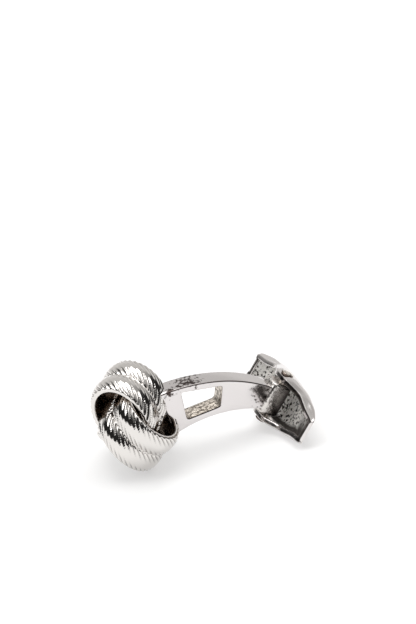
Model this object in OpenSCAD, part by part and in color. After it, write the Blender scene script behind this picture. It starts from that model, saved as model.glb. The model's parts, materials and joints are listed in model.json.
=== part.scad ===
/* [Knot] */
// Radius of each ring, to the middle surface of its band
ring_r = 4.35; // [4.2:0.05:4.5]
// Distance of each ring's centre from the knot's own axis
ring_offset = 1.8; // [1.65:0.05:1.95]
// Tilt of each ring out of the knot's middle plane, in degrees
ring_tilt = 46; // [44.5:0.5:47.5]
// Width of a ring's band of two strands
band_w = 7.3; // [7:0.1:7.6]
// Thickness of the band under its strands
band_t = 0.5; // [0.4:0.05:0.6]
// Height of a strand's round back above the band
strand_h = 0.65; // [0.5:0.05:0.8]
// Share by which a band leans from the ring's radius to the knot's radius
band_lean = 0.8; // [0.65:0.05:0.95]
// Height of the whole knot along its axis
knot_h = 10.1; // [9.8:0.1:10.4]
// Turn of the knot about its axis, in degrees
knot_turn = 128; // [125:1:131]
// Tip of the knot's axis towards the post's broad side, in degrees
knot_tip = -4; // [-7:1:-1]
// Nod of the knot's axis towards the arch's outer side, in degrees
knot_nod = 4; // [1:1:7]
// Shift of the knot off the post's middle line, towards the arch's outer side
knot_shift = 0.4; // [0.25:0.05:0.55]
// Shift of the knot off the post's middle plane
knot_side = 1.2; // [1.05:0.05:1.35]
// Depth by which the knot takes in the post's end
knot_sink = 0.5; // [0.35:0.05:0.65]

/* [Post] */
// Length of the arched stretch, along its middle line from the pivot
arch_len = 15; // [14.6:0.1:15.4]
// Radius of the arch's middle line
arch_r = 18.5; // [18:0.1:20]
// Thickness of the blade
blade_t = 2.4; // [2.1:0.1:2.6]
// Width of the blade where it meets the knot
blade_w_knot = 6.6; // [6.2:0.1:6.8]
// Width of the blade at the toggle
blade_w_end = 2.8; // [2.6:0.1:3]
// Distance from the pivot to the window's end near the toggle
window_from = 8.3; // [7.8:0.1:8.8]
// Distance from the pivot to the window's end near the knot
window_to = 13.4; // [13:0.1:13.8]
// Width of metal left over the window on the arch's outer side
rim_outer = 0.75; // [0.6:0.05:1]
// Width of metal left under the window on the arch's inner side
rim_inner = 1.15; // [0.9:0.05:1.3]

/* [Toggle] */
// Length of the toggle over its two ends
toggle_len = 17.4; // [16.8:0.1:18]
// Width over the ears, at the middle
toggle_w_mid = 7; // [6.8:0.1:7.2]
// Width of the toggle at its ends
toggle_w_end = 4.2; // [3.9:0.1:4.5]
// Depth of the keel below the pivot, at the middle
keel_depth = 3.1; // [3:0.05:3.3]
// Rise of the keel from the middle to the ends
keel_rise = 1.8; // [1.6:0.05:1.9]
// Height of the ears above the pivot
ear_h = 1; // [0.95:0.05:1.1]
// Depth of the rim below the pivot, at the ends
rim_depth = 0.6; // [0.5:0.05:0.7]
// Thickness of the walls
wall_t = 0.75; // [0.65:0.05:0.85]

/* [Pivot] */
// Radius of the rivet's shank
pin_r = 0.6; // [0.5:0.05:0.65]
// Radius of the rivet's heads
pin_head_r = 0.85; // [0.8:0.05:0.9]
// Height of the rivet's heads
pin_head_h = 0.28; // [0.2:0.02:0.34]
// Gap between the rivet and the post's bore
pin_gap = 0.05; // [0.03:0.01:0.08]

/* [Lying pose] */
// Turn about the length of the toggle that lays the cufflink down, in degrees
lie_pitch = 34.8; // [-60:0.1:60]
// Sideways roll of the lying cufflink, in degrees
lie_roll = 8.17; // [-40:0.1:40]
// Turn on the surface, in degrees
lie_turn = 0; // [-60:1:60]
// Shift that puts the footprint's middle over the origin, along X
lie_x = 10.019; // [-30:0.01:30]
// The same along Y
lie_y = -0.072; // [-30:0.01:30]
// Height of the pivot over the surface
lie_z = 4.009; // [0:0.01:20]

/* [Hidden] */
fine = 96;
eps = 0.01;
metal = "gainsboro";
shade_metal = "silver";
dark_metal = "darkgray";

// The post's middle line, and the knot beyond its end
arch_turn = arch_len / arch_r * 180 / PI;
tenon_l = 3;
tenon_inset = 0.8;
tenon_w = blade_w_knot - 2 * tenon_inset;
tenon_gap = 0.04;
knot_reach = knot_h / 2 - knot_sink;

// The knot's rings and its closed middle, in the knot's own frame with +Z out of its front
ring_count = 3;
ring_steps = 48;
strand_steps = 6;
groove_h = 0.12;
core_r = 4;
core_lift = 0.85;
core_steps = 32;

// The foot on the post's end, and what the toggle leaves for it
foot_t = 2.9;
foot_w = 4.5;
foot_up = 1.9;
foot_down = 1;
foot_overlap = 0.5;
pin_bore_r = pin_r + pin_gap;
pin_dome = 0.7;
ear_bore_r = pin_r + eps;
ear_flat = 1.3;
ear_foot = 3.7;
ear_dip = 0.1;
wall_straight = 1;
keel_narrow = 0.72;
half_len = toggle_len / 2;
keel_r = (half_len * half_len + keel_rise * keel_rise) / (2 * keel_rise);

// A point on the post, at a distance along the middle line and an offset outwards
function arch_pt(along, out) =
    let (turn = along / arch_r * 180 / PI)
    [-(arch_r + out) * sin(turn), (arch_r + out) * cos(turn) - arch_r];

// Half the blade's width at a distance along the middle line
function blade_half(along) =
    (blade_w_end + (blade_w_knot - blade_w_end) * along / arch_len) / 2;

// Centre and radius of the circle through three points
function circle_through(a, b, c) =
    let (
        d = 2 * (a.x * (b.y - c.y) + b.x * (c.y - a.y) + c.x * (a.y - b.y)),
        x = (a * a * (b.y - c.y) + b * b * (c.y - a.y) + c * c * (a.y - b.y)) / d,
        y = (a * a * (c.x - b.x) + b * b * (a.x - c.x) + c * c * (b.x - a.x)) / d
    )
    [[x, y], norm(a - [x, y])];

// A disc whose edge runs beside the middle line, at the blade's edge plus an inset
module edge_disc(side, inset) {
    edge = [for (along = [0, arch_len / 2, arch_len])
        arch_pt(along, side * (blade_half(along) - inset))];
    disc = circle_through(edge[0], edge[1], edge[2]);
    translate(disc[0]) circle(r = disc[1], $fn = 360);
}

// The stretch of the blade between two distances, inset from both edges
module blade_stretch(from, to, inset_outer, inset_inner) {
    reach = 3 * arch_r;
    intersection() {
        difference() {
            edge_disc(1, inset_outer);
            edge_disc(-1, inset_inner);
        }
        polygon([[0, -arch_r], arch_pt(from, reach), arch_pt(to, reach)]);
    }
}

module along_blade(depth) {
    rotate([90, 0, 0]) linear_extrude(height = depth, center = true) children();
}

// A strip from the blade's end into the knot, along the arch's last direction
module tenon() {
    end = arch_pt(arch_len, 0);
    translate([end.x, 0, end.y]) rotate([0, -arch_turn, 0])
        translate([-tenon_l, -blade_t / 2, -tenon_w / 2])
            cube([tenon_l + eps, blade_t, tenon_w]);
}

module foot() {
    translate([-foot_up, -foot_t / 2, -foot_w / 2])
        cube([foot_up + foot_down, foot_t, foot_w]);
}

module post_shape() {
    difference() {
        union() {
            along_blade(blade_t) blade_stretch(foot_overlap, arch_len, 0, 0);
            tenon();
            foot();
        }
        along_blade(blade_t + 2)
            blade_stretch(window_from, window_to, rim_outer, rim_inner);
        cylinder(r = pin_bore_r, h = foot_w + 2, center = true, $fn = fine);
    }
}

// The pin's shank through both ears, with a domed head outside each
module pin_head() {
    cylinder(r = pin_head_r, h = pin_head_h / 2, $fn = fine);
    translate([0, 0, pin_head_h / 2])
        cylinder(r1 = pin_head_r, r2 = pin_head_r * pin_dome, h = pin_head_h / 2, $fn = fine);
}

module pin_shape() {
    cylinder(r = pin_r, h = toggle_w_mid, center = true, $fn = fine);
    for (side = [0, 1])
        mirror([0, 0, side]) translate([0, 0, toggle_w_mid / 2]) pin_head();
}

// The toggle's plan, widest over the ears, with an inset all round
function plan_outline(scale_w, inset) =
    let (
        mid = toggle_w_mid / 2 * scale_w - inset,
        end = toggle_w_end / 2 * scale_w - inset,
        tip = half_len - inset
    )
    [[-tip, -end], [-ear_flat, -mid], [ear_flat, -mid], [tip, -end],
     [tip, end], [ear_flat, mid], [-ear_flat, mid], [-tip, end]];

// One level of the shell's sides, a thin slice of the plan at a depth
module plan_slice(depth, scale_w, inset) {
    translate([depth, 0, 0]) rotate([90, 0, 90])
        linear_extrude(height = eps) polygon(plan_outline(scale_w, inset));
}

module toggle_sides(inset) {
    hull() {
        plan_slice(-ear_h - 1, 1, inset);
        plan_slice(wall_straight, 1, inset);
        plan_slice(keel_depth + eps, keel_narrow, inset);
    }
}

// The side view: rim and ears above, the round keel below
module toggle_profile(inset, open) {
    top = open ? -ear_h - 2 : 0;
    intersection() {
        translate([keel_depth - keel_r, 0]) circle(r = keel_r - inset, $fn = 360);
        polygon([
            [rim_depth + top, -half_len], [rim_depth - ear_dip + top, -ear_foot],
            [-ear_h + top, -ear_flat], [-ear_h + top, ear_flat],
            [rim_depth - ear_dip + top, ear_foot], [rim_depth + top, half_len],
            [keel_depth + 1, half_len], [keel_depth + 1, -half_len]
        ]);
    }
}

module toggle_shape() {
    difference() {
        intersection() {
            linear_extrude(height = toggle_w_mid + 2, center = true) toggle_profile(0, false);
            toggle_sides(0);
        }
        intersection() {
            linear_extrude(height = toggle_w_mid, center = true) toggle_profile(wall_t, true);
            toggle_sides(wall_t);
        }
        cylinder(r = ear_bore_r, h = toggle_w_mid + 2, center = true, $fn = fine);
    }
}

// A point turned about X, Y and Z
function about_x(p, t) = [p.x, p.y * cos(t) - p.z * sin(t), p.y * sin(t) + p.z * cos(t)];
function about_y(p, t) = [p.x * cos(t) + p.z * sin(t), p.y, p.z * cos(t) - p.x * sin(t)];
function about_z(p, t) = [p.x * cos(t) - p.y * sin(t), p.x * sin(t) + p.y * cos(t), p.z];
function unit(v) = v / norm(v);

// A point of a ring's band: a place round the ring, across the band, and out of it
function ring_pt(turn, across, out) =
    let (
        spoke = about_x([cos(turn), sin(turn), 0], ring_tilt),
        along = about_x([-sin(turn), cos(turn), 0], ring_tilt),
        spot = spoke * ring_r + [ring_offset, 0, 0],
        lean = (1 - band_lean) * spoke + band_lean * unit(spot),
        face = unit(lean - (lean * along) * along),
        side = cross(along, face)
    )
    spot + across * side + out * face;

// The band's section, from its flat back over the two round strands
section = concat(
    [for (i = [0:2 * strand_steps])
        let (
            v = -1 + i / strand_steps,
            local = 2 * (abs(v) - 0.5),
            h = i == strand_steps ? groove_h : strand_h * sqrt(max(0, 1 - local * local))
        )
        [v * band_w / 2, h]],
    [[band_w / 2, -band_t], [0, -band_t], [-band_w / 2, -band_t]]
);

// A point of ring k, with the knot turned, tipped and shifted to its place on the post
function knot_pt(k, turn, across, out) =
    let (
        turned = about_z(ring_pt(turn, across, out), knot_turn + k * 360 / ring_count),
        tipped = about_y(about_x(turned, knot_tip), knot_nod)
    )
    tipped + [knot_shift, knot_side, 0];

function ring_points(k) =
    [for (i = [0:ring_steps - 1], s = section) knot_pt(k, i * 360 / ring_steps, s.x, s.y)];

module ring(k) {
    n = len(section);
    faces = [for (i = [0:ring_steps - 1], j = [0:n - 1])
        let (i2 = (i + 1) % ring_steps, j2 = (j + 1) % n)
        each [[i * n + j, i2 * n + j2, i * n + j2], [i * n + j, i2 * n + j, i2 * n + j2]]];
    polyhedron(points = ring_points(k), faces = faces, convexity = 8);
}

// Height of the three rings before they are pressed flat, and the factor that presses them
heights = [for (k = [0:ring_count - 1], p = ring_points(k)) p.z];
press = knot_h / (max(heights) - min(heights));

// The post's seat in the knot's back: a recess for the blade's end and a slot for the tenon
module seat() {
    recess_w = blade_w_knot + 2 * tenon_gap;
    recess_t = blade_t + 2 * tenon_gap;
    slot_w = tenon_w + 2 * tenon_gap;
    translate([-recess_w / 2, -recess_t / 2, -knot_h / press])
        cube([recess_w, recess_t, (knot_h - knot_reach + tenon_gap) / press]);
    translate([-slot_w / 2, -recess_t / 2, -knot_h / press])
        cube([slot_w, recess_t, (knot_h - knot_reach + tenon_l + tenon_gap) / press]);
}

module knot_shape() {
    resize([0, 0, knot_h]) difference() {
        union() {
            for (k = [0:ring_count - 1]) ring(k);
            translate([knot_shift, knot_side, core_lift]) sphere(r = core_r, $fn = core_steps);
        }
        seat();
    }
}

// The knot sits on the arch's end, its axis along the arch's last direction
module on_arch_end() {
    end = arch_pt(arch_len, 0);
    translate([end.x - knot_reach * cos(arch_turn), 0, end.y - knot_reach * sin(arch_turn)])
        rotate([0, -(90 + arch_turn), 0]) children();
}

// Turns the part, built upright about its pivot, to the way it lies on a surface
module lying() {
    translate([lie_x, lie_y, lie_z])
        rotate([0, 0, lie_turn]) rotate([lie_roll, 0, 0]) rotate([0, lie_pitch, 0]) children();
}

module knot() { color(metal) lying() on_arch_end() knot_shape(); }
module post() { color(shade_metal) lying() post_shape(); }
module pivot_pin() { color(dark_metal) lying() pin_shape(); }
module toggle() { color(metal) lying() toggle_shape(); }

knot();
post();
pivot_pin();
toggle();
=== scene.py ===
# %% [markdown]
# # A knot cufflink
# A cast love knot, an arched post with a window, and a swivelling whale back toggle, all plated
# bright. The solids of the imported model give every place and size. This script dresses them in
# finer shapes and in metal that looks cast, polished and worn.

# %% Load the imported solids
import json
import math
import bmesh
import bpy
import numpy as np
from mathutils import Matrix, Vector


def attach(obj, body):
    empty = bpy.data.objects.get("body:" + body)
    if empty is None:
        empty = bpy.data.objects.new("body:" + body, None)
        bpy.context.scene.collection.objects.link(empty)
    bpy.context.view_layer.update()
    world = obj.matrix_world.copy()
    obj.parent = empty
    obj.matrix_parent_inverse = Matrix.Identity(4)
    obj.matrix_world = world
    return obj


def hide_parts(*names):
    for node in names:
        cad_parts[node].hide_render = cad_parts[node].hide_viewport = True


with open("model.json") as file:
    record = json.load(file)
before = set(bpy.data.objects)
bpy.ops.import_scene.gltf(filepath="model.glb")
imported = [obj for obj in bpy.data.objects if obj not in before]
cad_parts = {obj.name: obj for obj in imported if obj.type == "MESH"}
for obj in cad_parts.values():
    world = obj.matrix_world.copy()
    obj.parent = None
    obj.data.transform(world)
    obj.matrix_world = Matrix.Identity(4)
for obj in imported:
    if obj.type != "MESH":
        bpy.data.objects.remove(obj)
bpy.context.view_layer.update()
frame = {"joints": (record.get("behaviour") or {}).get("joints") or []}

# %% [markdown]
# ## The maker's own axes
# The cufflink lies tipped on the table, so its parts are hard to describe along the table's
# directions. On the bench it is simpler: X runs from the knot to the toggle at the rivet, Z runs
# along the rivet, and the rivet's middle is the origin. The rivet is the joint of the packed
# model, so its point and direction give the whole turn from bench to table.

# %% From the bench to the table
MM = 0.001
swivel = frame["joints"][0]
pivot = Vector(swivel["pos_m"])
pin_line = Vector(swivel["axis"]).normalized()
pitch = math.asin(pin_line.x)
roll = math.atan2(-pin_line.y, pin_line.z)
turn_to_table = Matrix.Rotation(roll, 4, "X") @ Matrix.Rotation(pitch, 4, "Y")
bench_to_table = Matrix.Translation(pivot) @ turn_to_table @ Matrix.Scale(MM, 4)
print("pitch", round(math.degrees(pitch), 2), "roll", round(math.degrees(roll), 2))

# %% [markdown]
# ## Meshes on the bench
# Most pieces here are points that a formula gives, in laps round the piece. A few helpers serve
# them all: one joins the laps by faces, one turns a closed shell's faces outwards, and one makes
# the object and lays it on the table. Points are millimetres on the bench and metres after that.
# The place goes into the points, so that every object itself stays unturned at the origin.

# %% Helpers for meshes
def new_piece(name, points_mm, faces, material):
    """A smooth mesh object from points on the bench, laid on the table."""
    matrix = np.array(bench_to_table)
    placed = np.asarray(points_mm, float) @ matrix[:3, :3].T + matrix[:3, 3]
    mesh = bpy.data.meshes.new(name)
    mesh.from_pydata(placed.tolist(), [], [list(f) for f in faces])
    mesh.polygons.foreach_set("use_smooth", [True] * len(mesh.polygons))
    mesh.materials.append(material)
    piece = bpy.data.objects.new(name, mesh)
    bpy.context.scene.collection.objects.link(piece)
    return piece


def outward(points, faces):
    """The faces of a closed shell, turned over where they face its inside."""
    volume = 0.0
    for face in faces:
        corners = points[list(face)]
        volume += (np.cross(corners[1:-1], corners[2:]) @ corners[0]).sum()
    return faces if volume > 0 else [f[::-1] for f in faces]


def lap_faces(laps, steps, closed=False):
    """Quads between laps that each run round in so many steps. A closed row of laps is a ring."""
    last_lap = laps if closed else laps - 1
    return [
        (i * steps + j, i * steps + (j + 1) % steps,
         (i + 1) % laps * steps + (j + 1) % steps, (i + 1) % laps * steps + j)
        for i in range(last_lap) for j in range(steps)
    ]


def capped_laps(laps, steps):
    """Faces between laps, with a flat face over the first lap and one over the last."""
    first_cap = tuple(reversed(range(steps)))
    last_cap = tuple((laps - 1) * steps + i for i in range(steps))
    return lap_faces(laps, steps) + [first_cap, last_cap]


print("a tube of 4 laps with 6 steps and two caps has", len(capped_laps(4, 6)), "faces")

# %% [markdown]
# ## Bright plated metal
# Polished plating has hardly a colour of its own: it shows the room. What tells the eye that it
# is metal is a slight change of roughness from place to place, and dirt and tarnish where the
# polishing wheel can't reach. A painted map could hold them, but each shape would need its own.
# So every finish here is one shader tree with a different amount of each: a noise on the
# roughness, a fine bump, dark pits from the same noise, and a darker colour wherever an attribute
# on the mesh asks for it. That attribute holds real tarnish in the rope's grooves and dirt round
# the rivet, painted reflections along the post's edges, and painted shade and reflection inside the
# toggle.

# %% Small steps of a node tree
def calculated(tree, operation, a, b=None, clamp=False):
    """One step of arithmetic. Each value is a socket or a plain number."""
    node = tree.nodes.new("ShaderNodeMath")
    node.operation = operation
    node.use_clamp = clamp
    for socket, value in zip(node.inputs, (a, b)):
        if isinstance(value, (int, float)):
            socket.default_value = value
        elif value is not None:
            tree.links.new(value, socket)
    return node.outputs["Value"]


def mapped(tree, value, source, target=(0.0, 1.0)):
    """A value carried from one range to another and kept inside it."""
    node = tree.nodes.new("ShaderNodeMapRange")
    node.inputs["From Min"].default_value, node.inputs["From Max"].default_value = source
    node.inputs["To Min"].default_value, node.inputs["To Max"].default_value = target
    tree.links.new(value, node.inputs["Value"])
    return node.outputs["Result"]


def colour_socket(sockets, label):
    """The colour socket of that name: a Mix node has one for numbers and vectors too."""
    return next(s for s in sockets if s.name == label and s.type == "RGBA")


def blended(tree, share, first, second):
    """A colour between two others. Each is a socket or a plain colour."""
    node = tree.nodes.new("ShaderNodeMix")
    node.data_type = "RGBA"
    tree.links.new(share, node.inputs["Factor"])
    for label, colour in (("A", first), ("B", second)):
        socket = colour_socket(node.inputs, label)
        if isinstance(colour, tuple):
            socket.default_value = (*colour, 1)
        else:
            tree.links.new(colour, socket)
    return colour_socket(node.outputs, "Result")


print("helpers for node trees:", [f.__name__ for f in (calculated, mapped, blended)])

# %% [markdown]
# A dark patch is darkest round one point and thins out with the distance from it. It serves for
# real stains, and on the post also for painted shade in the step down to the foot. A plain disc of
# darkness would look drawn on, so the patch is added to the grain, which breaks its border up.

# %% A dark patch, and the metal itself
dark_patch_edge, clear_of_patch = (0.54, 0.66), -0.2
grain_detail, bump_depth = 4.0, 0.1 * MM
polish_from, polish_share = (0.3, 0.7), (0.7, 1.4)


def dark_patch(tree, place, grain, middle, full_mm, end_mm, strength):
    """Darkness round a point of the bench, broken up by the grain towards its end."""
    away = tree.nodes.new("ShaderNodeVectorMath")
    away.operation = "DISTANCE"
    away.inputs[1].default_value = bench_to_table @ Vector(middle)
    tree.links.new(place, away.inputs[0])
    reach = mapped(tree, away.outputs["Value"], (full_mm * MM, end_mm * MM), (strength, clear_of_patch))
    return mapped(tree, calculated(tree, "ADD", grain, reach), dark_patch_edge)


def plated_metal(name, bright, dark, rough, grain_mm, bump, mottle=0.0, pits=(0.42, 0.62), dark_patches=()):
    """Metal that goes from bright to dark where its darkening attribute asks, which is real tarnish on
    some pieces and painted shade and reflection on others, in pits of its grain and in dark patches.
    """
    material = bpy.data.materials.new(name)
    material.use_nodes = True
    tree = material.node_tree
    shader = tree.nodes["Principled BSDF"]
    shader.inputs["Metallic"].default_value = 1.0
    place = tree.nodes.new("ShaderNodeTexCoord").outputs["Object"]
    tarnish_and_shade = tree.nodes.new("ShaderNodeAttribute")
    tarnish_and_shade.attribute_name = "tarnish_and_shade"
    noise = tree.nodes.new("ShaderNodeTexNoise")
    noise.inputs["Scale"].default_value = 1 / (grain_mm * MM)
    noise.inputs["Detail"].default_value = grain_detail
    tree.links.new(place, noise.inputs["Vector"])
    grain = noise.outputs["Fac"]

    pitted = mapped(tree, grain, pits, (0.0, mottle))
    # Darkening from the mesh's attribute: real tarnish on some pieces, painted shade and reflection on
    # others.
    deep = calculated(tree, "MAXIMUM", tarnish_and_shade.outputs["Fac"], pitted, clamp=True)
    for row in dark_patches:
        deep = calculated(tree, "MAXIMUM", deep, dark_patch(tree, place, grain, *row), clamp=True)
    tree.links.new(blended(tree, deep, bright, dark), shader.inputs["Base Color"])
    polish = mapped(tree, grain, polish_from, tuple(rough * share for share in polish_share))
    tree.links.new(polish, shader.inputs["Roughness"])

    relief = tree.nodes.new("ShaderNodeBump")
    relief.inputs["Strength"].default_value = bump
    relief.inputs["Distance"].default_value = bump_depth
    tree.links.new(grain, relief.inputs["Height"])
    tree.links.new(relief.outputs["Normal"], shader.inputs["Normal"])
    return material


rope_metal = plated_metal(
    "rope_metal", bright=(0.77, 0.745, 0.72), dark=(0.05, 0.035, 0.03),
    rough=0.06, grain_mm=0.5, bump=0.12)
print("the rope's finish has", len(rope_metal.node_tree.nodes), "nodes")

# %% [markdown]
# ## The love knot
# The knot is three linked rings. Each ring is a wide band bent round, and two rope strands lie
# side by side on its outside. The inside of a band is smooth, and shows as a dark hollow where
# the band turns over. A ring could be drawn as a bent curve with a section swept along it, but
# here it leans inwards by a rule. So its points come from a formula: a place round the ring, a
# place across the band, and a height out of it. The sizes are those of the solid.

# %% Sizes of the knot, in millimetres and degrees
ring_r, ring_offset, ring_tilt, ring_count = 4.35, 1.8, 46, 3
band_w, band_t, strand_h, band_lean = 7.3, 0.5, 0.65, 0.8
knot_h, knot_turn, knot_tip, knot_nod = 10.1, 128, -4, 4
knot_shift, knot_side, knot_sink = 0.4, 1.2, 0.5
arch_len, arch_r = 15, 18.5
arch_turn = math.degrees(arch_len / arch_r)
knot_reach = knot_h / 2 - knot_sink
print("the post bends through", round(arch_turn, 1), "degrees to the knot")

# %% [markdown]
# A ring is a circle that is tipped and moved off the knot's middle. Its band would face straight
# out from the circle, but on the real knot it leans to face away from the middle. So the band's
# face is a blend of the two, made square to the way along the ring.

# %% The points of a ring
def turned(points, degrees, axis):
    """Points turned about an axis through the origin."""
    return points @ np.array(Matrix.Rotation(math.radians(degrees), 3, axis)).T


def unit(vectors):
    """Vectors of the same directions, all one long."""
    return vectors / np.linalg.norm(vectors, axis=-1, keepdims=True)


def ring_points(k, share, across, out):
    """Points of ring k on the knot's own axes, before the knot is pressed flat."""
    angle = share * 2 * np.pi
    flat = np.zeros_like(angle)
    spoke = turned(np.stack([np.cos(angle), np.sin(angle), flat], -1), ring_tilt, "X")
    along = turned(np.stack([-np.sin(angle), np.cos(angle), flat], -1), ring_tilt, "X")
    spot = spoke * ring_r + np.array([ring_offset, 0, 0])
    lean = (1 - band_lean) * spoke + band_lean * unit(spot)
    face = unit(lean - (lean * along).sum(-1, keepdims=True) * along)
    side = np.cross(along, face)
    points = spot + across[..., None] * side + out[..., None] * face
    points = turned(points, knot_turn + k * 360 / ring_count, "Z")
    points = turned(turned(points, knot_tip, "X"), knot_nod, "Y")
    return points + np.array([knot_shift, knot_side, 0])


start = ring_points(0, np.zeros(1), np.zeros(1), np.zeros(1))[0]
print("the first ring starts at", start.round(2))

# %% [markdown]
# The band's section is one closed line: over both strands, round the edge, and back along the
# smooth inside. Besides its place, each point keeps "local", which runs from -1 to 1 across its
# strand, because the rope's lay is counted from it.

# %% The band's section, over both strands and round its back
strand_points, edge_steps, back_points = 26, 4, 16
edge_r, groove_h = 0.22, 0.12
arc = np.linspace(0, np.pi, strand_points)
local = -np.cos(arc)
rise = strand_h * np.sin(arc)
corner = np.linspace(0, np.pi / 2, edge_steps + 1)[1:]
back_out = edge_r - band_t - edge_r * np.sin(corner)
back_across = band_w / 2 - edge_r + edge_r * np.cos(corner)
inside_across = np.linspace(band_w / 2 - edge_r, -band_w / 2 + edge_r, back_points + 2)[1:-1]
section_across = np.concatenate([
    (local - 1) * band_w / 4, (local[1:] + 1) * band_w / 4,
    back_across, inside_across, -back_across[::-1]])
section_out = np.concatenate([
    rise, rise[1:], back_out, np.full(back_points, -band_t), back_out[::-1]])
section_out[strand_points - 1] = groove_h
section_local = np.concatenate([
    local, local[1:], np.ones(edge_steps), np.zeros(back_points), -np.ones(edge_steps)])
on_strand = np.concatenate([np.ones(2 * strand_points - 1), np.zeros(2 * edge_steps + back_points)])
section_points = len(section_across)
print("points across the band:", section_points)

# %% [markdown]
# ### The rope's lay
# Each strand looks like a laid rope: short ridges that lie aslant, one beside the other, all the
# way round. Modelling every ridge by hand would be hopeless, and a bump map would leave the
# outline smooth. A Geometry Nodes tree does it: it reads how far round the ring and how far
# across the strand a point is, turns the two into a wave, and sinks the point by that wave. It
# also stores the wave's deepest part in the attribute that darkens the metal, so that the tarnish
# sits in the grooves.

# %% A Geometry Nodes tree that cuts the lay into a band
plies, ply_slant, lay_depth, tarnish_power = 33.0, -2.4, 0.0002, 3.0


def attribute(tree, label):
    """A number that is stored on each point under that name."""
    node = tree.nodes.new("GeometryNodeInputNamedAttribute")
    node.data_type = "FLOAT"
    node.inputs["Name"].default_value = label
    return node.outputs["Attribute"]


def lay_groove(tree, given):
    """How deep the lay is at a point: 0 on a ridge, up to 1 in a groove."""
    turns = calculated(tree, "MULTIPLY", attribute(tree, "share"), given.outputs["Plies"])
    slant = calculated(tree, "MULTIPLY", attribute(tree, "local"), given.outputs["Slant"])
    phase = calculated(tree, "MULTIPLY", calculated(tree, "ADD", turns, slant), math.pi)
    wave = calculated(tree, "ABSOLUTE", calculated(tree, "COSINE", phase))
    return calculated(tree, "MULTIPLY", calculated(tree, "SUBTRACT", 1.0, wave), attribute(tree, "lay"))


def rope_lay_tree():
    """Sinks the points of a band along their normals by the lay, and stores the hollows."""
    tree = bpy.data.node_groups.new("rope lay", "GeometryNodeTree")
    face = tree.interface
    face.new_socket("Band", in_out="INPUT", socket_type="NodeSocketGeometry")
    for label, value in (("Plies", plies), ("Slant", ply_slant), ("Depth", lay_depth)):
        face.new_socket(label, in_out="INPUT", socket_type="NodeSocketFloat").default_value = value
    face.new_socket("Metal", in_out="INPUT", socket_type="NodeSocketMaterial")
    face.new_socket("Rope", in_out="OUTPUT", socket_type="NodeSocketGeometry")
    given = tree.nodes.new("NodeGroupInput")
    result = tree.nodes.new("NodeGroupOutput")

    groove = lay_groove(tree, given)
    sink = calculated(tree, "MULTIPLY", calculated(tree, "MULTIPLY", groove, given.outputs["Depth"]), -1.0)
    offset = tree.nodes.new("ShaderNodeVectorMath")
    offset.operation = "SCALE"
    tree.links.new(tree.nodes.new("GeometryNodeInputNormal").outputs["Normal"], offset.inputs[0])
    tree.links.new(sink, offset.inputs["Scale"])

    store = tree.nodes.new("GeometryNodeStoreNamedAttribute")
    store.inputs["Name"].default_value = "tarnish_and_shade"
    tree.links.new(given.outputs["Band"], store.inputs["Geometry"])
    tree.links.new(calculated(tree, "POWER", groove, tarnish_power), store.inputs["Value"])
    move = tree.nodes.new("GeometryNodeSetPosition")
    tree.links.new(store.outputs["Geometry"], move.inputs["Geometry"])
    tree.links.new(offset.outputs["Vector"], move.inputs["Offset"])
    realize = tree.nodes.new("GeometryNodeRealizeInstances")
    tree.links.new(move.outputs["Geometry"], realize.inputs["Geometry"])
    paint = tree.nodes.new("GeometryNodeSetMaterial")
    tree.links.new(realize.outputs["Geometry"], paint.inputs["Geometry"])
    tree.links.new(given.outputs["Metal"], paint.inputs["Material"])
    tree.links.new(paint.outputs["Geometry"], result.inputs["Rope"])
    return tree


rope_lay = rope_lay_tree()
print("rope lay inputs:", [s.name for s in rope_lay.interface.items_tree])

# %% [markdown]
# A tree works on a piece through a modifier. The export wants plain meshes, so the result is
# copied out and the modifier taken off again. A modifier knows its inputs by their identifiers,
# which the tree's interface lists beside their names.

# %% Apply a tree and keep the plain mesh
def apply_tree(piece, tree, **values):
    """Run a Geometry Nodes tree on a piece and keep its result as the piece's own mesh."""
    modifier = piece.modifiers.new(tree.name, "NODES")
    modifier.node_group = tree
    for socket in tree.interface.items_tree:
        if socket.in_out == "INPUT" and socket.name in values:
            modifier[socket.identifier] = values[socket.name]
    evaluated = piece.evaluated_get(bpy.context.evaluated_depsgraph_get())
    mesh = bpy.data.meshes.new_from_object(evaluated)
    piece.modifiers.remove(modifier)
    piece.data = mesh


def give(piece, label, values):
    """Store one number per point on a mesh."""
    layer = piece.data.attributes.new(label, "FLOAT", "POINT")
    layer.data.foreach_set("value", np.asarray(values, np.float32).ravel())


print("nodes in the rope lay:", len(rope_lay.nodes))

# %% [markdown]
# ### Press the knot and set it on the post
# The three loose rings are taller than the real knot, which is pressed together in its mould. So
# the knot is scaled along its own height to the height of the solid. Its middle then goes on the
# post's end, along the post's direction there.

# %% From the knot's own axes to the bench
ring_steps = 570
around = np.arange(ring_steps) / ring_steps
share, across = np.meshgrid(around, section_across, indexing="ij")
out = np.broadcast_to(section_out, share.shape)
loose_rings = [ring_points(k, share, across, out) for k in range(ring_count)]
heights = np.concatenate([r[..., 2].ravel() for r in loose_rings])
press = knot_h / (heights.max() - heights.min())
arch_end = math.radians(arch_turn)
post_end = np.array([-arch_r * math.sin(arch_end), 0, arch_r * (math.cos(arch_end) - 1)])
knot_axis = np.array([-math.cos(arch_end), 0, -math.sin(arch_end)])


def on_post(points):
    """From the knot's own axes to the bench, with the knot pressed along its height."""
    pressed = points * np.array([1, 1, press])
    return turned(pressed, -(90 + arch_turn), "Y") + post_end + knot_reach * knot_axis


print("the knot is pressed to", round(press, 3), "of its height")

# %% [markdown]
# ### The three rings
# Wear has rubbed the lay off the crown of each strand and left it on the flanks, so the wave is
# weak in the middle of a strand and full beside it. It fades out right at the strand's edge,
# where the two strands or the band's back take over.

# %% Make the three rings
crown_half, flank_w, crown_share, edge_w = 0.1, 0.6, 0.12, 0.04


def ramp(values, start, width):
    """A straight rise from 0 at the start to 1 after the width."""
    return np.clip((values - start) / width, 0, 1)


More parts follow.
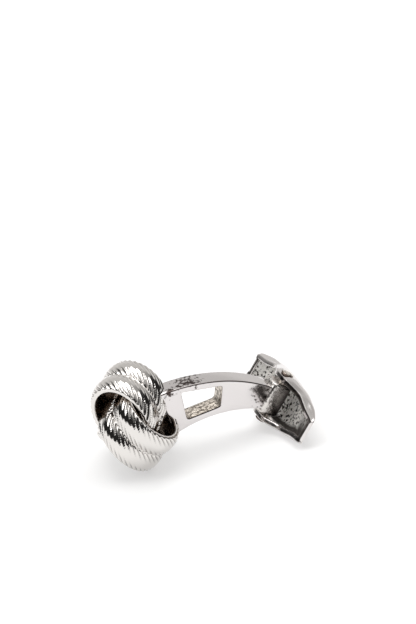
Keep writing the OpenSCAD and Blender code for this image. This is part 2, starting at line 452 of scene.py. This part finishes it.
ring_faces = lap_faces(ring_steps, section_points, closed=True)
ring_faces = outward(on_post(loose_rings[0]).reshape(-1, 3), ring_faces)
strand_mask = np.broadcast_to(on_strand, share.shape)
ring_local = np.broadcast_to(section_local, share.shape)
flank = ramp(np.abs(ring_local), crown_half, flank_w)
flank = crown_share + (1 - crown_share) * flank ** 2 * (3 - 2 * flank)
edge_fade = ramp(1 - np.abs(ring_local), 0, edge_w)
rings = []
for k, loose in enumerate(loose_rings):
    ring = new_piece(f"knot_ring_{k + 1}", on_post(loose).reshape(-1, 3), ring_faces, rope_metal)
    give(ring, "share", share)
    give(ring, "local", ring_local)
    give(ring, "lay", strand_mask * flank * edge_fade)
    apply_tree(ring, rope_lay, Plies=plies, Slant=ply_slant, Depth=lay_depth, Metal=rope_metal)
    rings.append(ring)
    print(ring.name, len(ring.data.polygons), "faces")

# %% [markdown]
# The smooth back of a band never sees the polishing wheel, so it gets a browner, rougher metal, and a
# darker one: painted shade for the dark hollows where the bands turn over.
# The faces of the back are known by their place in the section, which saves a second mesh.

# %% Painted shade on the bands' backs
# Browner and rougher as cast, and darker still as painted shade inside the loops.
shaded_band_back = plated_metal(
    "shaded_band_back", bright=(0.55, 0.48, 0.42), dark=(0.08, 0.05, 0.035),
    rough=0.22, grain_mm=0.9, bump=0.3, mottle=0.5)
column = np.tile(np.arange(section_points), ring_steps)
back_start, back_end = 2 * strand_points, section_points - edge_steps + 1
on_back = (column >= back_start) & (column < back_end)
for ring in rings:
    ring.data.materials.append(shaded_band_back)
    ring.data.polygons.foreach_set("material_index", on_back.astype(np.int32))
    ring.data.update()
print("back faces per ring:", int(on_back.sum()))

# %% [markdown]
# Between the rings one can see a little of the casting's closed middle. A ball, pressed like the
# rings, stands for it, rough and in the bands' back metal, so its darkness is painted shade too.

# %% The closed middle of the knot
core_r, core_lift, core_laps, core_steps, pole_gap = 3.9, 0.85, 24, 48, 0.02
down, turn = np.meshgrid(
    np.linspace(pole_gap, np.pi - pole_gap, core_laps),
    np.arange(core_steps) / core_steps * 2 * np.pi, indexing="ij")
ball = core_r * np.stack([np.sin(down) * np.cos(turn), np.sin(down) * np.sin(turn), np.cos(down)], -1)
ball = on_post(ball.reshape(-1, 3) + np.array([knot_shift, knot_side, core_lift]))
core_faces = capped_laps(core_laps, core_steps)
knot_core = new_piece("knot_core", ball, outward(ball, core_faces), shaded_band_back)
print("core faces:", len(core_faces))

# %% [markdown]
# ## The arched post
# The post is a flat blade, bent along an arc, wide at the knot and narrow at the toggle, with a
# window cut through it. Its edges are slightly rounded by the polishing. A block could be bent
# and cut, but a filled 2D curve does all of this at once: the outline and the window are two
# closed lines, the curve is filled, thickened and bevelled, and then made a mesh.

# %% Sizes of the post
blade_t, blade_w_knot, blade_w_end = 2.4, 6.6, 2.8
blade_start, blade_overlap, edge_points = 0.4, 0.8, 40
window_from, window_to, rim_outer, rim_inner = 8.3, 13.4, 0.75, 1.15
blade_bevel, window_corner = 0.16, 0.45


def arch_point(along, above):
    """A place along the arch from the rivet, and so far above its middle line."""
    angle = along / arch_r
    return np.array([-(arch_r + above) * np.sin(angle), (arch_r + above) * np.cos(angle) - arch_r])


def blade_half(along):
    """Half the blade's width at a place along the arch."""
    return (blade_w_end + (blade_w_knot - blade_w_end) * along / arch_len) / 2


print("the blade's width at the window:", round(2 * blade_half((window_from + window_to) / 2), 2), "mm")

# %% [markdown]
# The outline runs up the outer side of the arch and back down the inner side, at even steps. The
# window follows the same arch, so its long sides stay beside the blade's edges. Its corners are
# rounded, as a file leaves them.

# %% The blade's outline and its window
def rounded(corners, radius, steps=6):
    """A closed line with its corners rounded."""
    line = []
    for before, here, after in zip(corners[-1:] + corners[:-1], corners, corners[1:] + corners[:1]):
        start = here + radius * unit(before - here)
        stop = here + radius * unit(after - here)
        for t in np.linspace(0, 1, steps):
            line.append((1 - t) ** 2 * start + 2 * t * (1 - t) * here + t ** 2 * stop)
    return line


steps_along = np.linspace(blade_start, arch_len + blade_overlap, edge_points)
outer_edge = [arch_point(a, blade_half(a)) for a in steps_along]
inner_edge = [arch_point(a, -blade_half(a)) for a in steps_along[::-1]]
window = rounded([
    arch_point(window_from, blade_half(window_from) - rim_outer),
    arch_point(window_to, blade_half(window_to) - rim_outer),
    arch_point(window_to, rim_inner - blade_half(window_to)),
    arch_point(window_from, rim_inner - blade_half(window_from)),
], window_corner)
print("points of the outline and the window:", len(outer_edge + inner_edge), len(window))

# %% [markdown]
# A 2D curve fills its outer line and leaves the inner one open. Its extrude makes the thickness
# and its bevel rounds every edge, the window's too. The bevel would make the blade bigger and the
# window smaller, so an offset first moves both lines back by the same amount.

# %% Fill, thicken and bevel the blade
blade_curve = bpy.data.curves.new("blade", "CURVE")
blade_curve.dimensions = "2D"
blade_curve.fill_mode = "BOTH"
blade_curve.extrude = blade_t / 2 - blade_bevel
blade_curve.bevel_depth = blade_bevel
blade_curve.bevel_resolution = 3
blade_curve.offset = -blade_bevel
for line in (outer_edge + inner_edge, window):
    spline = blade_curve.splines.new("POLY")
    spline.points.add(len(line) - 1)
    for point, (x, z) in zip(spline.points, line):
        point.co = (x, z, 0, 1)
    spline.use_cyclic_u = True
blade_object = bpy.data.objects.new("blade", blade_curve)
bpy.context.scene.collection.objects.link(blade_object)
bpy.context.view_layer.update()
blade_mesh = bpy.data.meshes.new_from_object(
    blade_object.evaluated_get(bpy.context.evaluated_depsgraph_get()))
bpy.data.objects.remove(blade_object)
print("blade faces:", len(blade_mesh.polygons))

# %% [markdown]
# At the toggle the blade ends in a thick foot that the rivet goes through. It is a block with
# worn edges: a small ball, pulled apart to the block's corners, gives all of its rounding.

# %% The foot, a block with round edges
foot_t, foot_w, foot_up, foot_down, foot_round = 2.9, 4.5, 1.9, 1.0, 0.5


def round_block(low, high, radius, steps=5):
    """Points and faces of a block with round edges and corners: a small ball pulled apart."""
    angles = np.linspace(-np.pi / 2, np.pi / 2, 2 * steps)
    spokes = np.linspace(0, 2 * np.pi, 4 * steps, endpoint=False) + np.pi / (4 * steps)
    up, spoke = np.meshgrid(angles, spokes, indexing="ij")
    ball = np.stack([np.cos(up) * np.cos(spoke), np.cos(up) * np.sin(spoke), np.sin(up)], -1)
    low, high = np.array(low) + radius, np.array(high) - radius
    points = (np.where(ball > 0, high, low) + radius * ball).reshape(-1, 3)
    return points, outward(points, capped_laps(2 * steps, 4 * steps))


foot_points, foot_faces = round_block(
    (-foot_up, -foot_t / 2, -foot_w / 2), (foot_down, foot_t / 2, foot_w / 2), foot_round)
print("foot faces:", len(foot_faces))

# %% [markdown]
# Blade and foot are one casting, so their meshes are joined. The curve's own mesh has loose
# seams, where its front, its bevels and its sides meet, so its doubled points are merged first.

# %% Join blade and foot
seam_gap = 1e-5
work = bmesh.new()
work.from_mesh(blade_mesh)
bmesh.ops.remove_doubles(work, verts=work.verts, dist=seam_gap)
blade_points = np.array([(v.co.x, -v.co.z, v.co.y) for v in work.verts])
work.verts.index_update()
blade_faces = [tuple(v.index for v in f.verts) for f in work.faces]
work.free()
post_points = np.concatenate([blade_points, foot_points])
post_faces = blade_faces + [tuple(i + len(blade_points) for i in f) for f in foot_faces]
print("post points:", len(post_points), "faces:", len(post_faces))

# %% [markdown]
# ### The post's finishes
# The blade is polished bright, with a grainy dark stain on its top edge near the knot, a darker
# patch where it enters the knot, and another on its side by the foot, partly dirt and partly
# painted shade in the step down to the foot. The window's walls are browner
# and pitted, because no wheel reaches into them, and the foot inside the toggle is dull. All
# three are the one tree again. A dark patch is a distance from a point of the bench, so it can
# cross an edge of the blade as a real stain does.

# %% The metals of the post
knot_end_stain = ((-13.6, 0, -0.7), 1.3, 3.4, 0.13)
# Partly dirt and partly painted shade, in the step from the blade down to the foot.
foot_step_stain_and_shade = ((-2.2, -1.3, 0.0), 1.2, 2.4, 0.04)
root_dark_patch = ((-15.4, -1.4, -3.1), 0.5, 1.4, 0.16)
post_metal = plated_metal(
    "post_metal", bright=(0.74, 0.71, 0.705), dark=(0.07, 0.055, 0.05),
    rough=0.10, grain_mm=0.45, bump=0.05, dark_patches=(knot_end_stain, foot_step_stain_and_shade, root_dark_patch))
window_metal = plated_metal(
    "window_metal", bright=(0.66, 0.60, 0.53), dark=(0.06, 0.045, 0.03),
    rough=0.3, grain_mm=0.35, bump=0.9, mottle=0.8, pits=(0.44, 0.6))
foot_metal = plated_metal(
    "foot_metal", bright=(0.72, 0.69, 0.66), dark=(0.04, 0.03, 0.03),
    rough=0.2, grain_mm=0.4, bump=0.6, mottle=0.8, pits=(0.52, 0.66))
post = new_piece("post_blade", post_points, post_faces, post_metal)
post.data.materials.append(window_metal)
post.data.materials.append(foot_metal)
print("metals of the post:", [m.name for m in post.data.materials])

# %% [markdown]
# A fine dark line is painted along the blade's outer edge and another under the window: a painted
# reflection of the room's dark band, which the narrow bevels are too small to catch. The end of
# the foot is darkened as well. Each point's distance from the blade's edges says where those lines run,
# because the blade follows a formula.

# %% Painted reflections along the post's edges, and the darker foot end
edge_reflection_dark, bevel_line = 0.95, (0.03 * blade_bevel, 0.65 * blade_bevel)
window_zone, by_window = (8, 14), (-0.1, 0.3)


def within(values, low_high):
    """Which values lie between the two."""
    return (values > low_high[0]) & (values < low_high[1])


radial = np.hypot(post_points[:, 0], post_points[:, 2] + arch_r) - arch_r
along = np.arctan2(-post_points[:, 0], post_points[:, 2] + arch_r) * arch_r
from_outer = blade_half(along) - radial
from_side = blade_t / 2 - np.abs(post_points[:, 1])
under_window = rim_inner - blade_half(along) - radial
outer_edge_reflection = within(from_side, bevel_line) & within(from_outer, bevel_line)
window_edge_reflection = within(from_side, bevel_line) & within(under_window, by_window) & within(along, window_zone)
is_blade = np.arange(len(post_points)) < len(blade_points)
foot_edge = ~is_blade & (post_points[:, 0] > foot_down - foot_round)
dark_points = ((outer_edge_reflection | window_edge_reflection) & is_blade) | foot_edge
give(post, "tarnish_and_shade", np.where(dark_points, edge_reflection_dark, 0.0))
print("dark points on the post:", int(dark_points.sum()))

# %% [markdown]
# A face of the window's wall lies inside the blade on every side: away from its outer edge, above
# the window's lower line, and deeper than the bevel. A face takes the window's metal only when all
# of its corners do.

# %% The metal of each face
inside_from, wall_from, edge_angle = 0.5, 0.5 * blade_bevel, 38
in_window = (from_outer > inside_from) & (under_window < by_window[1])
in_window &= (from_side > wall_from) & within(along, window_zone)
slots = [1 if np.all(in_window[list(face)]) else 0 for face in blade_faces] + [2] * len(foot_faces)
post.data.polygons.foreach_set("material_index", slots)
post.data.set_sharp_from_angle(angle=math.radians(edge_angle))
print("post:", len(post_faces), "faces,", slots.count(1), "of them in the window")

# %% [markdown]
# ## The whale back toggle
# The toggle is a small boat: a long hexagon in plan, with a round keel, a hollow inside, and two
# ears at the middle that hold the rivet. A block could be cut and bevelled to it, but the walls
# follow the plan's outline all the way. So the mesh is built in laps of that outline: up the
# outside from the keel, over the rim, and down the inside to the pitted floor.

# %% Sizes of the toggle
toggle_len, toggle_w_mid, toggle_w_end = 17.4, 7.0, 4.2
keel_depth, keel_rise = 3.0, 1.8
ear_h, ear_flat, ear_foot = 1.0, 1.3, 3.7
rim_depth, rim_sag, rim_round = 0.6, 0.1, 0.12
wall_t, floor_t = 0.65, 0.65
half_len = toggle_len / 2
keel_r = (half_len ** 2 + keel_rise ** 2) / (2 * keel_rise)


def keel(y):
    """Depth of the keel's underside at a place along the toggle."""
    return keel_depth - keel_r + np.sqrt(keel_r ** 2 - np.minimum(np.abs(y), half_len) ** 2)


print("the keel is an arc of radius", round(keel_r, 2), "mm")

# %% [markdown]
# Seen from above the toggle has eight corners, two at each end and four by the ears. They are
# joined by straight lines, and then averaged over a few steps, which rounds the corners off. That
# makes the plan shorter at the ends, so it starts a little longer.

# %% The plan's outline, evenly stepped, and its inward direction
def even_steps(corners, count):
    """Points at equal steps along a closed line."""
    line = np.vstack([corners, corners[:1]])
    length = np.concatenate([[0], np.cumsum(np.linalg.norm(np.diff(line, axis=0), axis=1))])
    at = np.linspace(0, length[-1], count, endpoint=False)
    return np.stack([np.interp(at, length, line[:, i]) for i in range(2)], -1)


def smoothed(values, width):
    """A closed row of values, averaged over a width of steps."""
    kernel = np.hanning(width + 2)[1:-1]
    kernel /= kernel.sum()
    wrapped = np.concatenate([values[-width:], values, values[:width]])
    return np.convolve(wrapped, kernel, mode="same")[width:-width]


plan_steps, corner_width, rim_width = 420, 19, 17
end_w, mid_w = toggle_w_end / 2, toggle_w_mid / 2
corner_loss = 0.62
plan_end = half_len + corner_loss
plan = even_steps(np.array([
    (plan_end, -end_w), (plan_end, end_w), (ear_flat, mid_w), (-ear_flat, mid_w),
    (-plan_end, end_w), (-plan_end, -end_w), (-ear_flat, -mid_w), (ear_flat, -mid_w)]), plan_steps)
plan = np.stack([smoothed(plan[:, i], corner_width) for i in range(2)], -1)
ahead = np.roll(plan, -1, axis=0) - np.roll(plan, 1, axis=0)
inward = unit(np.stack([-ahead[:, 1], ahead[:, 0]], -1))
from_middle = np.abs(plan[:, 0])
rim = np.interp(from_middle, [0, ear_flat, ear_foot, half_len],
                [-ear_h, -ear_h, rim_depth - rim_sag, rim_depth])
rim = smoothed(rim, rim_width)
print("outline points:", len(plan), "rim from", round(rim.min(), 2), "to", round(rim.max(), 2))

# %% [markdown]
# The outside bulges beyond the rim, as a casting does that was filed flat on top. So the rim is
# drawn in, a little at the ears and more past them and at the ends, and the wall runs out to the
# full outline below it. The foot swings between the ears, so only past them may the rim come far
# in. The hollow's walls are steep at the middle, for the foot, and sloping at the ends.

# %% How the walls run from the rim to the keel
# Where each change starts and over how much it runs: the walls and the ears in millimetres from
# the middle, the ends by how far the wall there faces along the toggle.
walls_change, ears_change, ends_change = (2, 5), (4.2, 2.2), (0.25, 0.35)
ears_width, ends_width = 13, 15
# Fullness at the middle, and how much it changes to the ends.
outer_fullness, inner_fullness = (3.9, 3.5), (5.5, -3.3)
# Millimetres at the ears, added past the ears, and added at the ends.
drawn_in, drawn_below = (0.22, 0.28, 0.35), (0.7, 0.3, 0.3)
to_end = ramp(from_middle, *walls_change)
outer_full = outer_fullness[0] + outer_fullness[1] * to_end
inner_full = inner_fullness[0] + inner_fullness[1] * to_end
past_ears = smoothed(ramp(from_middle, *ears_change), ears_width)
at_end = smoothed(ramp(np.abs(inward[:, 0]), *ends_change), ends_width)


def along_rim(at_ears, past, ends):
    """A size that grows past the ears and again at the toggle's ends."""
    return at_ears + past * past_ears + ends * at_end


rim_drawn_in = along_rim(*drawn_in)
drawn_depth = along_rim(*drawn_below)
rim_line = plan + rim_drawn_in[:, None] * inward


def lap(line, depth):
    """Points on the bench from a line in plan and its depth."""
    return np.stack([depth, line[:, 0], line[:, 1]], -1)


def bowl(line, bottom, fullness, levels):
    """Laps from the rim to the middle of a rounded bowl. A fuller one has steeper walls."""
    top = rim + rim_round
    laps = []
    for level in np.linspace(0, np.pi / 2, levels)[:-1]:
        share = np.cos(level) ** (2 / fullness)
        drop = np.sin(level) ** (2 / fullness)
        here = line * share[:, None]
        laps.append(lap(here, top + (bottom(here[:, 0]) - top) * drop))
    return laps


print("the rim is drawn in by", round(rim_drawn_in.min(), 2), "to", round(rim_drawn_in.max(), 2), "mm")

# %% [markdown]
# The outside is one bowl and the hollow is a smaller one in it. Between their rims lies the lip,
# flat, with a quarter circle on each side. Below the rim the outer wall follows the drawn-in line
# less and less until it meets the full outline.

# %% Laps up the outside, over the rim and down the inside
outer_levels, inner_levels, lip_steps, bulge = 44, 30, 4, 1.2
outer = bowl(plan, keel, outer_full, outer_levels)
for here in outer:
    below = np.clip((here[:, 0] - rim - rim_round) / drawn_depth, 0, 1)
    here[:, 1:] += (rim_drawn_in * (1 - below) ** bulge)[:, None] * inward
inner = bowl(rim_line + wall_t * inward, lambda y: keel(y) - floor_t, inner_full, inner_levels)
quarter = np.linspace(0, np.pi / 2, lip_steps + 1)[1:]
over_lip = [(rim_round * (1 - np.cos(a)), rim_round * (1 - np.sin(a))) for a in quarter]
over_lip += [(wall_t - inset, drop) for inset, drop in over_lip[::-1]]
lip = [lap(rim_line + inset * inward, rim + drop) for inset, drop in over_lip]
laps = outer[::-1] + lip + inner
print("laps outside, over the rim and inside:", len(outer), len(lip), len(inner))

# %% [markdown]
# The laps get smaller towards the keel and towards the floor, but none of them is a point. A fan
# of triangles closes each, and the shell is whole.

# %% Close the keel and the floor, and make the toggle
keel_point, floor_point = [[keel(0.0), 0, 0]], [[keel(0.0) - floor_t, 0, 0]]
toggle_points = np.concatenate(laps + [keel_point, floor_point])
toggle_faces = lap_faces(len(laps), plan_steps)
keel_at, last_lap = len(laps) * plan_steps, (len(laps) - 1) * plan_steps
floor_at = keel_at + 1
toggle_faces += [(keel_at, (i + 1) % plan_steps, i) for i in range(plan_steps)]
toggle_faces += [(floor_at, last_lap + i, last_lap + (i + 1) % plan_steps) for i in range(plan_steps)]
toggle_metal = plated_metal(
    "toggle_metal", bright=(0.74, 0.71, 0.70), dark=(0.06, 0.05, 0.045),
    rough=0.12, grain_mm=1.2, bump=0.08)
toggle = new_piece("toggle_shell", toggle_points, outward(toggle_points, toggle_faces), toggle_metal)
print("toggle faces:", len(toggle_faces))

# %% [markdown]
# ### The toggle's finishes
# The outside is polished like the blade. The floor of the hollow is left as cast and full of dark
# pits, and painted paler than the other metal: painted light against the shade of the hollow. Its
# walls carry a painted dark band below the rim, painted shade and painted reflection of the dark
# room, most in the low corner and on the high wall beside it, and two parts of the rim carry a
# painted reflection too. The lap that a point belongs to tells wall from floor, so one number for
# each point is enough to paint them.

# %% Painted shade and reflection on the walls and the rim
wall_angles, wall_darkness = (0, 2, 8, 36, 52), (0, 0, 0.95, 0.95, 0)
corner_from, corner_fade, least_dark = 1.5, 2, 0.25
half_from, half_fade, high_from, high_fade = 0.5, 1.5, 1.2, 0.6
lip_high, lip_end, lip_darkness = 1.6, -7.6, 0.9
inner_start = len(outer) + len(lip)
lap_index = np.repeat(np.arange(len(laps)), plan_steps)
along_toggle, over_toggle = toggle_points[:-2, 1], toggle_points[:-2, 2]
inner_angle = np.clip((lap_index - inner_start) / (inner_levels - 1) * 90, 0, 90)
# Painted shade and reflection: a dark band below the rim that fades out towards the floor.
wall_painted_shade = np.interp(inner_angle, wall_angles, wall_darkness)
low_corner = ramp(corner_from - along_toggle, 0, corner_fade)
low_corner = low_corner * ramp(corner_from - over_toggle, 0, corner_fade)
low_half = ramp(half_from - along_toggle, 0, half_fade)
high_wall = low_half * ramp(over_toggle, high_from, high_fade)
inside_painted_shade = wall_painted_shade * (least_dark + (1 - least_dark) * np.maximum(low_corner, high_wall))
# Painted reflection of the dark room on two parts of the lip.
on_lip = (lap_index > len(outer)) & (lap_index < inner_start - 2)
lip_place = (over_toggle > lip_high) | (along_toggle < lip_end)
lip_painted_reflection = on_lip * lip_place * lip_darkness * low_half
toggle_dark = np.where(lap_index >= inner_start, inside_painted_shade, lip_painted_reflection)
give(toggle, "tarnish_and_shade", np.concatenate([toggle_dark, [0, 0]]))
print("mean painted shade inside the toggle:", round(inside_painted_shade[lap_index >= inner_start].mean(), 2))

# %% [markdown]
# The floor's metal is another material, so it is chosen by faces, not points. It starts a few laps
# below the rim. On the high side of the low half it starts deeper, so that the wall there keeps its
# painted shade. The floor's pale colour is painted light against the hollow's shade; its pits are
# the casting's own.

# %% Pit the floor
floor_start_laps, high_wall_laps, high_side_from = 3, 9, 1.5
# Paler than the other metal: painted light against the shade of the hollow. The dark pits are the
# casting's own.
pitted_metal_with_painted_light = plated_metal(
    "pitted_metal_with_painted_light", bright=(0.95, 0.93, 0.90), dark=(0.03, 0.022, 0.018),
    rough=0.7, grain_mm=0.4, bump=0.6, mottle=0.95, pits=(0.525, 0.585))
toggle.data.materials.append(pitted_metal_with_painted_light)
face_lap = np.concatenate([
    np.repeat(np.arange(len(laps) - 1), plan_steps), np.zeros(plan_steps, int),
    np.full(plan_steps, len(laps))])
on_high_side = (plan[:, 0] < 0) & (plan[:, 1] > high_side_from)
face_high = np.concatenate([np.tile(on_high_side, len(laps) - 1), np.zeros(2 * plan_steps, bool)])
pitted = face_lap >= inner_start + floor_start_laps + high_wall_laps * face_high
toggle.data.polygons.foreach_set("material_index", pitted.astype(np.int32))
print("toggle faces on the floor:", int(pitted.sum()))

# %% [markdown]
# ## The rivet
# The rivet holds the toggle on the post's foot. Its shank runs through both ears, and each end is
# hammered to a low dome. A ready-made cylinder would need its domes added, so the profile of
# shank and domes is turned about the rivet's own line instead. Dirt sits round each head.

# %% Turn the rivet
pin_r, pin_head_r, pin_head_h = 0.6, 0.85, 0.28
head_sunk, head_edge, dome_steps, dome_gap, turn_steps = 0.05, 0.96, 8, 0.12, 64
dirt_from, dirt_dark, rivet_edge_angle = 0.9, 0.9, 40
under_head = toggle_w_mid / 2 - head_sunk
half_profile = [(pin_r, 0.0), (pin_r, under_head), (pin_head_r * head_edge, under_head)]
half_profile += [
    (pin_head_r * math.cos(a), toggle_w_mid / 2 + pin_head_h * math.sin(a))
    for a in np.linspace(0, math.pi / 2 - dome_gap, dome_steps)]
profile = [(r, -z) for r, z in half_profile[:0:-1]] + half_profile
spin = np.arange(turn_steps) / turn_steps * 2 * np.pi
rivet_points = np.array([(r * np.cos(a), r * np.sin(a), z) for r, z in profile for a in spin])
rivet_faces = capped_laps(len(profile), turn_steps)
rivet_metal = plated_metal(
    "rivet_metal", bright=(0.8, 0.75, 0.69), dark=(0.07, 0.04, 0.025),
    rough=0.14, grain_mm=0.5, bump=0.3, mottle=0.6, pits=(0.53, 0.64))
rivet = new_piece("rivet", rivet_points, outward(rivet_points, rivet_faces), rivet_metal)
head_dirt = [dirt_dark if r > dirt_from * pin_head_r else 0.0 for r, z in profile for a in spin]
give(rivet, "tarnish_and_shade", head_dirt)
rivet.data.set_sharp_from_angle(angle=math.radians(rivet_edge_angle))
print("rivet faces:", len(rivet_faces))

# %% [markdown]
# ## Which body carries what
# The toggle and its rivet swing on the post. Each piece rides on its body and stands for the solid
# that it replaces, which is hidden. Each row also lists a finish name.

# %% Hand the pieces to the frame
for ring in rings + [knot_core]:
    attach(ring, "stud")
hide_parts("knot")
for piece, body, node, finish in (
        (post, "stud", "post", "cast_post"),
        (toggle, "swivel", "toggle", "cast_toggle"),
        (rivet, "swivel", "pivot_pin", "rivet")):
    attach(piece, body)
    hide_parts(node)

# %% [markdown]
# ## The table
# The cufflink lies on a table of white paper. Under soft lamps alone paper turns grey, so it glows
# a little too. That keeps the shadow weak, and lights the metal from below as a light table does.

# %% The table
table_reach, paper_grey, paper_glow, paper_rough = 1.5, 0.62, 0.42, 0.9
table_corners = [(x * table_reach, y * table_reach, 0) for x, y in ((-1, -1), (1, -1), (1, 1), (-1, 1))]
table_mesh = bpy.data.meshes.new("table")
table_mesh.from_pydata(table_corners, [], [(0, 1, 2, 3)])
table = bpy.data.objects.new("table", table_mesh)
bpy.context.scene.collection.objects.link(table)
paper = bpy.data.materials.new("paper")
paper.use_nodes = True
paper_shader = paper.node_tree.nodes["Principled BSDF"]
paper_shader.inputs["Base Color"].default_value = (paper_grey, paper_grey, paper_grey, 1)
paper_shader.inputs["Emission Color"].default_value = (1, 1, 1, 1)
paper_shader.inputs["Emission Strength"].default_value = paper_glow
paper_shader.inputs["Roughness"].default_value = paper_rough
table_mesh.materials.append(paper)
print("the table is", 2 * table_reach, "m wide")

# %% [markdown]
# ## The camera
# The camera sees the cufflink from the photograph's side. Its three directions are given on the
# bench, as the photograph shows the part, and turn with the part on to the table. A long lens
# from 450 mm away keeps the flat look of a shop picture. How many pixels a millimetre takes, and
# where the rivet lies in the picture, set the lens and the aim.

# %% The camera, from the photograph's direction
view_right, view_back = (0.797, -0.379, 0.470), (-0.546, -0.785, 0.292)
px_per_mm, pivot_px, image_px = 7.777, (274.4, 396.3), (416, 624)
distance_mm, sensor_mm, nearest_m = 450, 24, 0.01
view_turn = turn_to_table.to_3x3()
right = (view_turn @ Vector(view_right)).normalized()
back = (view_turn @ Vector(view_back)).normalized()
up = back.cross(right).normalized()
right = up.cross(back)
aim = pivot + MM * (right * (image_px[0] / 2 - pivot_px[0]) / px_per_mm
                    + up * (pivot_px[1] - image_px[1] / 2) / px_per_mm)
lens_camera = bpy.data.cameras.new("camera")
lens_camera.sensor_fit = "VERTICAL"
lens_camera.sensor_height = sensor_mm
lens_camera.lens = sensor_mm * distance_mm * px_per_mm / image_px[1]
lens_camera.clip_start = nearest_m
camera = bpy.data.objects.new("camera", lens_camera)
camera.matrix_world = Matrix.Translation(aim + back * distance_mm * MM) @ Matrix(
    (right, up, back)).transposed().to_4x4()
bpy.context.scene.collection.objects.link(camera)
bpy.context.scene.camera = camera
print("camera elevation", round(math.degrees(math.asin(back.z)), 1), "lens", round(lens_camera.lens), "mm")

# %% [markdown]
# ## The sky
# Bright metal needs something dark to show, or it looks like white plaster. In a studio that is
# the dark room behind the camera, while a pale backdrop stands beyond the cufflink. The sky here
# has both: two ramps over the height, the room's with a black band above the horizon, and a
# quick change from one to the other round the sides.

# %% The sky: a dark room behind the camera, a pale backdrop beyond the cufflink
sky_bottom, side_change, warm_tint = -0.25, (-0.65, -0.5), (1, 0.985, 0.965)
room_stops = [(-0.2, 0.8), (-0.03, 0.5), (0.02, 0.02), (0.42, 0.02), (0.6, 0.38), (0.8, 0.52), (1.0, 0.6)]
backdrop_stops = [(-0.2, 0.9), (0.0, 0.7), (0.3, 0.75), (0.5, 0.65), (0.7, 0.65), (1.0, 0.6)]
world = bpy.data.worlds.new("studio")
bpy.context.scene.world = world
world.use_nodes = True
sky = world.node_tree
toward = sky.nodes.new("ShaderNodeTexCoord").outputs["Generated"]
split = sky.nodes.new("ShaderNodeSeparateXYZ")
sky.links.new(toward, split.inputs["Vector"])
height = mapped(sky, split.outputs["Z"], (sky_bottom, 1.0))


def sky_ramp(stops):
    """A grey for each height of the sky, given as (sine of the elevation, grey)."""
    node = sky.nodes.new("ShaderNodeValToRGB")
    node.color_ramp.interpolation = "EASE"
    elements = node.color_ramp.elements
    while len(elements) < len(stops):
        elements.new(0.5)
    for element, (sine, grey) in zip(elements, stops):
        element.position = (sine - sky_bottom) / (1 - sky_bottom)
        element.color = (*(grey * tint for tint in warm_tint), 1)
    sky.links.new(height, node.inputs["Fac"])
    return node.outputs["Color"]


dark_side = math.atan2(back.y, back.x)
facing = sky.nodes.new("ShaderNodeVectorMath")
facing.operation = "DOT_PRODUCT"
facing.inputs[1].default_value = (math.cos(dark_side), math.sin(dark_side), 0)
sky.links.new(toward, facing.inputs[0])
room_share = mapped(sky, facing.outputs["Value"], side_change)
whole_sky = blended(sky, room_share, sky_ramp(backdrop_stops), sky_ramp(room_stops))
sky.links.new(whole_sky, sky.nodes["Background"].inputs["Color"])
sky.nodes["Background"].inputs["Strength"].default_value = 1.0
print("the dark room stands towards", round(math.degrees(dark_side)), "degrees")

# %% [markdown]
# ## The lamps
# Three soft boxes give the long highlights: one to the left, a large one overhead and a weak one
# to the right. Small hard lamps would leave sparks and hard shadows instead.

# %% Soft lamps
lamp_distance_m = 0.6
lamps = (
    # name, azimuth, elevation, size in mm, power in watts
    ("lamp_left", 175, 48, 350, 0.8),
    ("lamp_top", 60, 80, 500, 1.9),
    ("lamp_right", 335, 45, 300, 0.5),
)
for name, azimuth, elevation, size_mm, power in lamps:
    light = bpy.data.lights.new(name, "AREA")
    light.size = size_mm * MM
    light.energy = power
    lamp = bpy.data.objects.new(name, light)
    a, e = math.radians(azimuth), math.radians(elevation)
    spot = Vector((math.cos(e) * math.cos(a), math.cos(e) * math.sin(a), math.sin(e))) * lamp_distance_m
    lamp.location = spot
    lamp.rotation_euler = spot.to_track_quat("Z", "Y").to_euler()
    bpy.context.scene.collection.objects.link(lamp)
bpy.context.scene.view_settings.view_transform = "Standard"
